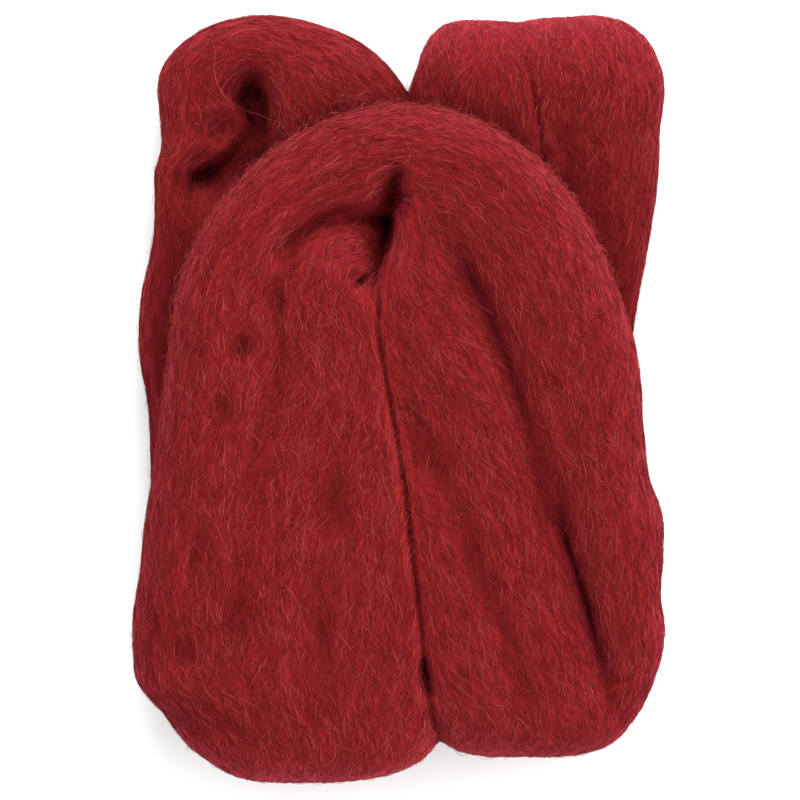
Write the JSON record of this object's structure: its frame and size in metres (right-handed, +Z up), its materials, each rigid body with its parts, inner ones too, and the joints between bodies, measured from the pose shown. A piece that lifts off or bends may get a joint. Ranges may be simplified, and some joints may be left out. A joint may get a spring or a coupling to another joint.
{
  "type": "wool roving hank",
  "caption": "Flat hank of soft combed wool roving for spinning and felting, folded back and forth into a broad arch with long legs over a small loop and a wide fold.",
  "frame": {"origin": "centre of the bounding box's base, on the surface the hank lies on", "axes": "+X across the hank, +Y up its length from the feet of the legs to the top of the folds, +Z up from the surface towards the side the arch is on"},
  "size_m": [0.132, 0.1906, 0.0405],
  "materials": {
    "wool": "matt, soft and fuzzy"
  },
  "bodies": {
    "root": {"roving": "wool"}
  },
  "joints": []
}
